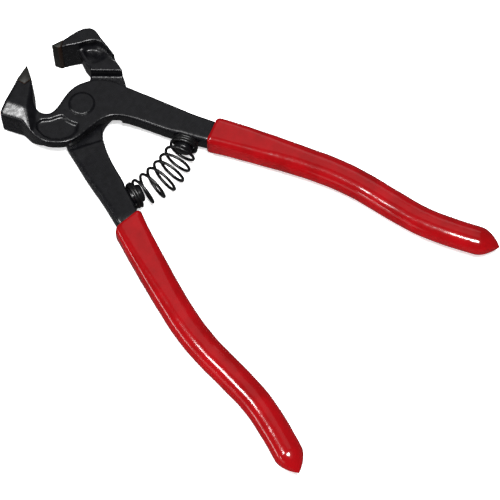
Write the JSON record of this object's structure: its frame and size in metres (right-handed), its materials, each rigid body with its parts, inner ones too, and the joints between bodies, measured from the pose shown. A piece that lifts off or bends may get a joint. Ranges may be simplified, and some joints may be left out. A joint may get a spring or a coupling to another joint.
{
  "type": "tile nippers",
  "caption": "Hand nippers for nibbling ceramic tile: crossed steel levers on a rivet, hooked carbide-tipped jaws, a bowed return spring and dipped red grips.",
  "frame": {"origin": "centre of the pivot rivet's flat rear face", "axes": "+Z along the pivot axis towards the front lever, +Y towards the jaws, handles towards -Y, front lever's handle towards +X"},
  "size_m": [0.1318, 0.1977, 0.0175],
  "materials": {
    "black_enamel": "satin",
    "rivet_steel": "satin",
    "carbide": "ground",
    "braze": "matte",
    "spring_steel": "satin",
    "grip_vinyl": "gloss"
  },
  "bodies": {
    "front_lever": {"lever_front": "black_enamel", "pivot_rivet": "rivet_steel", "carbide_front": "carbide", "braze_front": "braze", "spring_peg_front": "rivet_steel", "return_spring": "spring_steel", "grip_front": "grip_vinyl"},
    "rear_lever": {"lever_rear": "black_enamel", "carbide_rear": "carbide", "braze_rear": "braze", "spring_peg_rear": "rivet_steel", "grip_rear": "grip_vinyl"}
  },
  "joints": [
    {"name": "jaw_pivot", "type": "hinge", "parent": "front_lever", "child": "rear_lever", "pos_m": [0, 0, 0.00565], "axis": [0, 0, 1], "range_deg": [0, 27.4], "stiffness_Nm_per_rad": 1.5, "springref_deg": -8.59, "deforming": ["return_spring"]}
  ]
}
